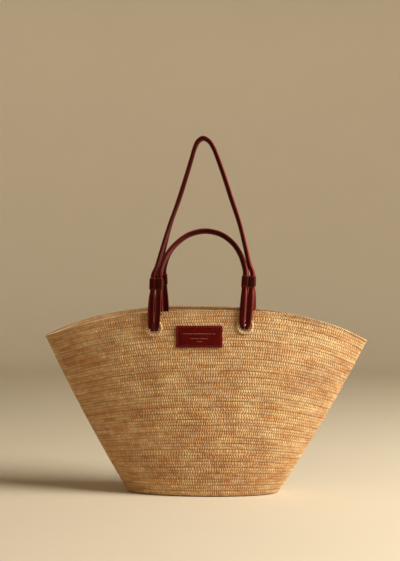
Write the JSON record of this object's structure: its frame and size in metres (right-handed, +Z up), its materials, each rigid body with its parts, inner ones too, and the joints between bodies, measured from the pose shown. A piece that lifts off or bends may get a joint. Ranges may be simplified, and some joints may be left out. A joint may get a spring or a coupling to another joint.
{
  "type": "straw basket bag",
  "caption": "Open crocheted raffia basket bag with a flared boat-shaped mouth, long and short leather handles held in metal eyelets, and a leather patch.",
  "frame": {"origin": "middle of the base, on the surface that the bag stands on", "axes": "+Z up, +X to the right along the width, -Y towards the front with the patch"},
  "size_m": [0.553, 0.152, 0.6077],
  "materials": {
    "raffia": "crocheted raffia, matt with a soft straw sheen",
    "strap_leather": "smooth dark burgundy leather, satin, edges a little lighter",
    "label_leather": "smooth burgundy leather patch, satin, stitched all round",
    "nickel": "polished pale metal"
  },
  "bodies": {
    "root": {"basket_body": "raffia", "label_patch": "label_leather", "eyelet_front_left": "nickel", "raffia_ring_front_left": "raffia", "keeper_long_front_left": "strap_leather", "keeper_short_front_left": "strap_leather", "eyelet_front_right": "nickel", "raffia_ring_front_right": "raffia", "keeper_long_front_right": "strap_leather", "keeper_short_front_right": "strap_leather", "long_handle_front": "strap_leather", "short_handle_front": "strap_leather", "eyelet_back_left": "nickel", "raffia_ring_back_left": "raffia", "keeper_long_back_left": "strap_leather", "keeper_short_back_left": "strap_leather", "eyelet_back_right": "nickel", "raffia_ring_back_right": "raffia", "keeper_long_back_right": "strap_leather", "keeper_short_back_right": "strap_leather", "long_handle_back": "strap_leather", "short_handle_back": "strap_leather"}
  },
  "joints": []
}
